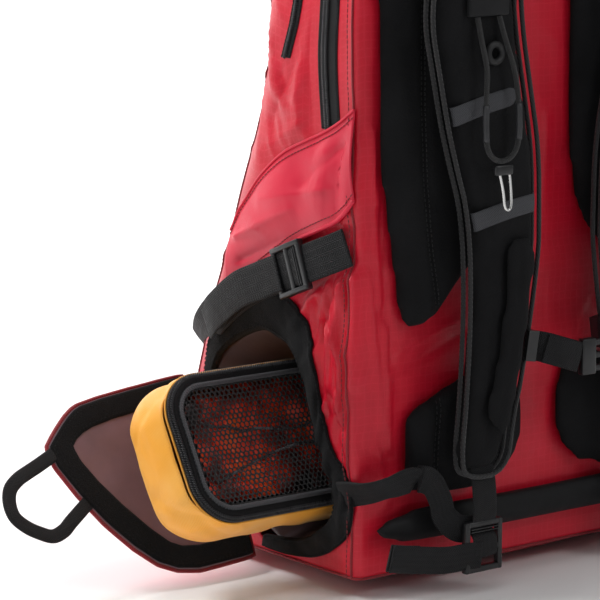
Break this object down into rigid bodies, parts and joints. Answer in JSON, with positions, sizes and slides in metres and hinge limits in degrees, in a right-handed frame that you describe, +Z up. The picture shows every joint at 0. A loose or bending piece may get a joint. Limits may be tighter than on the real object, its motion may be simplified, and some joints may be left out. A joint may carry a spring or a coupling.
{
  "type": "ski backpack",
  "caption": "Crimson ski backpack with a side pocket, a hinged flap, a pull-out pouch with a mesh lid and a padded shoulder harness.",
  "frame": {"origin": "centre of the flat patch under the bag", "axes": "+Z up, +X towards the wearer's right and the side pocket, +Y towards the wearer's back (harness side)"},
  "size_m": [0.497, 0.2443, 0.5561],
  "materials": {
    "ripstop": "satin",
    "twill": "satin",
    "base_cloth": "satin",
    "pad_mesh": "matte",
    "webbing": "matte",
    "grey_webbing": "satin",
    "hook_loop": "matte",
    "coated_lining": "satin",
    "zip_tape": "satin",
    "pouch_cloth": "satin",
    "pouch_piping": "satin",
    "black_mesh": "satin",
    "buckle_plastic": "satin",
    "sheet_plastic": "satin",
    "aluminium": "brushed",
    "cord": "matte",
    "wire": "polished",
    "pull_rubber": "matte"
  },
  "bodies": {
    "bag": {"bottom_panel": "base_cloth", "top_panel": "ripstop", "front_panel": "ripstop", "back_panel": "ripstop", "side_panel_right": "ripstop", "side_panel_left": "ripstop", "wing_panel_right": "twill", "wing_panel_left": "twill", "pocket_loop_tape": "hook_loop", "main_zip_tape": "zip_tape", "front_zip_tape": "zip_tape", "frame_sheet": "sheet_plastic", "aluminium_stay": "aluminium", "upper_pad_right": "pad_mesh", "upper_pad_left": "pad_mesh", "lumbar_pad_right": "pad_mesh", "lumbar_pad_left": "pad_mesh", "waist_band": "pad_mesh", "pocket_liner": "coated_lining", "compression_webbing_right": "webbing", "compression_webbing_left": "webbing", "compression_locks": "buckle_plastic", "strap_anchors": "webbing", "lower_webbing_right": "webbing", "lower_webbing_left": "webbing"},
    "flap": {"flap_cloth": "ripstop", "flap_lining": "coated_lining", "flap_hook_tape": "hook_loop"},
    "flap_loop": {"flap_pull_loop": "webbing"},
    "pouch": {"pouch_walls": "pouch_cloth", "pouch_zip_band": "zip_tape", "pouch_piping": "pouch_piping", "pouch_mesh_lid": "black_mesh"},
    "pouch_slider": {"pouch_zip_slider": "buckle_plastic"},
    "shoulder_strap_right": {"strap_pad_right": "pad_mesh", "strap_bands_right": "grey_webbing", "strap_webbing_right": "webbing", "ladder_lock_right": "buckle_plastic", "tube_sleeve": "pad_mesh", "cord_tab": "webbing", "shock_cord": "cord", "cord_ring": "buckle_plastic", "wire_hook": "wire"},
    "shoulder_strap_left": {"strap_pad_left": "pad_mesh", "strap_bands_left": "grey_webbing", "strap_webbing_left": "webbing", "ladder_lock_left": "buckle_plastic"},
    "sternum_right": {"sternum_keeper_right": "buckle_plastic", "sternum_webbing_right": "webbing", "sternum_buckle_male": "buckle_plastic"},
    "sternum_left": {"sternum_keeper_left": "buckle_plastic", "sternum_webbing_left": "webbing", "sternum_buckle_female": "buckle_plastic"},
    "haul_grip": {"haul_loop": "webbing"},
    "main_slider": {"main_zip_slider": "buckle_plastic"},
    "main_pull": {"main_zip_pull": "pull_rubber"},
    "front_slider": {"front_zip_slider": "buckle_plastic"},
    "front_pull": {"front_zip_pull": "pull_rubber"}
  },
  "joints": [
    {"name": "flap_hinge", "type": "hinge", "parent": "bag", "child": "flap", "pos_m": [0.152, -0.04612, 0.06303], "axis": [0, 0.5519, -0.8339], "range_deg": [-90, 60]},
    {"name": "flap_loop_hinge", "type": "hinge", "parent": "flap", "child": "flap_loop", "pos_m": [0.28385, -0.05378, 0.07144], "axis": [0.3786, -0.5108, 0.7718], "range_deg": [0, 80]},
    {"name": "pouch_slide", "type": "slide", "parent": "bag", "child": "pouch", "axis": [1, 0, 0], "range_m": [-0.1715, 0.1145]},
    {"name": "pouch_zip_travel", "type": "slide", "parent": "pouch", "child": "pouch_slider", "axis": [1, 0, 0], "range_m": [-0.034, 0.085]},
    {"name": "shoulder_strap_right_swing", "type": "hinge", "parent": "bag", "child": "shoulder_strap_right", "pos_m": [0.062, 0.1, 0.474], "axis": [1, 0, 0], "range_deg": [0, 25]},
    {"name": "shoulder_strap_left_swing", "type": "hinge", "parent": "bag", "child": "shoulder_strap_left", "pos_m": [-0.062, 0.1, 0.474], "axis": [1, 0, 0], "range_deg": [0, 25]},
    {"name": "sternum_right_travel", "type": "slide", "parent": "shoulder_strap_right", "child": "sternum_right", "axis": [-0.1665, 0, 0.986], "range_m": [-0.006, 0.04]},
    {"name": "sternum_left_travel", "type": "slide", "parent": "shoulder_strap_left", "child": "sternum_left", "axis": [0.1665, 0, 0.986], "range_m": [-0.006, 0.04]},
    {"name": "haul_loop_swing", "type": "hinge", "parent": "bag", "child": "haul_grip", "pos_m": [0, 0.035, 0.5226], "axis": [1, 0, 0], "range_deg": [-60, 60]},
    {"name": "main_zip_travel", "type": "slide", "parent": "bag", "child": "main_slider", "axis": [0, -0.0468, -0.9989], "range_m": [0, 0.09]},
    {"name": "main_pull_swing", "type": "hinge", "parent": "main_slider", "child": "main_pull", "pos_m": [0.1555, 0.0535, 0.436], "axis": [0, -1, 0], "range_deg": [0, 150]},
    {"name": "front_zip_travel", "type": "slide", "parent": "bag", "child": "front_slider", "axis": [0, -0.0639, -0.998], "range_m": [0, 0.045]},
    {"name": "front_pull_swing", "type": "hinge", "parent": "front_slider", "child": "front_pull", "pos_m": [0.1555, 0.0237, 0.436], "axis": [0, -1, 0], "range_deg": [0, 150]}
  ],
  "couplings": [
    {"joint": "pouch_slide", "follows": "flap_hinge", "m_per_rad": 0.10886}
  ]
}
